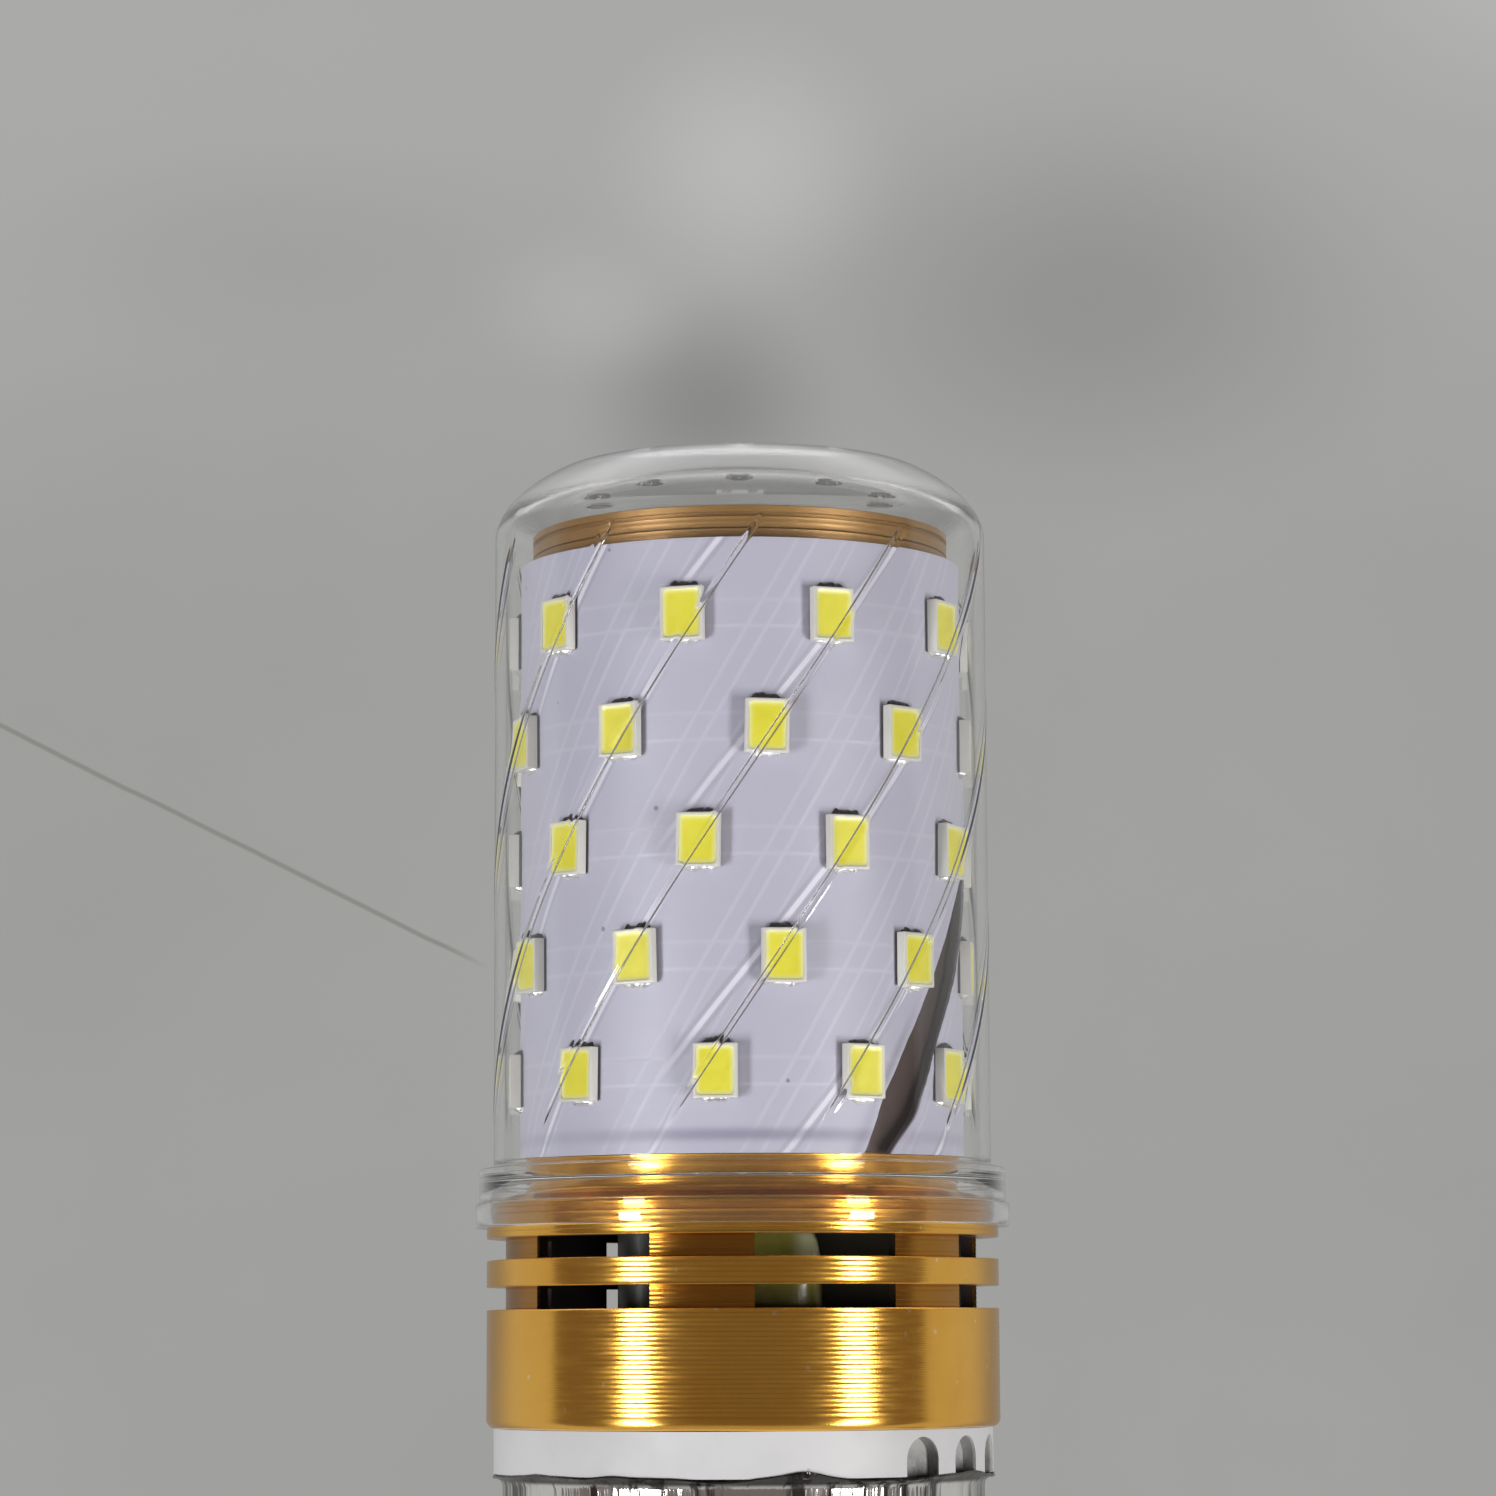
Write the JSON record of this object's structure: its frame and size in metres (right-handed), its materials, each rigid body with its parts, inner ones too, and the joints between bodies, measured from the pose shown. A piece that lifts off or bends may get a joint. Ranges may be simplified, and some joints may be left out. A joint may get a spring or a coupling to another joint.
{
  "type": "corn bulb",
  "caption": "Upright screw-cap lamp bulb: a clear stepped cover over a slanted ring of surface-mounted lamps, on a turned and vented metal housing with a plastic collar.",
  "frame": {"origin": "middle of the centre contact's flat face, at the lowest point of the cap, on the bulb's axis", "axes": "+Z along the bulb's axis from the cap to the top of the cover; -Y is the side that faces the camera in the picture"},
  "size_m": [0.0355, 0.0354, 0.0951],
  "materials": {
    "contact_brass": "pressed, dull",
    "insulator_black": "moulded, glossy",
    "cap_chrome": "plated, slightly wavy",
    "collar_white": "moulded, satin",
    "gold_aluminium": "gold anodised, finely turned",
    "board_white": "matt lacquer, cool white",
    "lamp_case": "moulded, satin",
    "phosphor_yellow": "soft silicone",
    "solder": "bright, uneven",
    "clear_cover": "clear moulded plastic, polished",
    "driver_laminate": "laminate",
    "film_green": "dipped resin, glossy",
    "can_sleeve": "shrunk sleeve",
    "moulded_black": "moulded",
    "fuse_body": "lacquered",
    "resistor_body": "lacquered",
    "wire_red": "insulated",
    "wire_black": "insulated"
  },
  "bodies": {
    "root": {"centre_contact": "contact_brass", "insulator": "insulator_black", "screw_shell": "cap_chrome", "collar": "collar_white", "housing": "gold_aluminium", "lamp_board": "board_white", "lamp_cases_row_1": "lamp_case", "lamp_cases_row_2": "lamp_case", "lamp_cases_row_3": "lamp_case", "lamp_cases_row_4": "lamp_case", "lamp_cases_row_5": "lamp_case", "lamp_phosphor_row_1": "phosphor_yellow", "lamp_phosphor_row_2": "phosphor_yellow", "lamp_phosphor_row_3": "phosphor_yellow", "lamp_phosphor_row_4": "phosphor_yellow", "lamp_phosphor_row_5": "phosphor_yellow", "lamp_solder": "solder", "cover": "clear_cover", "driver_board": "driver_laminate", "film_capacitor": "film_green", "can_capacitor": "can_sleeve", "rectifier": "moulded_black", "fuse_resistor": "fuse_body", "bleed_resistor": "resistor_body", "live_wire": "wire_red", "neutral_wire": "wire_black", "output_wire_plus": "wire_red", "output_wire_minus": "wire_black"}
  },
  "joints": []
}
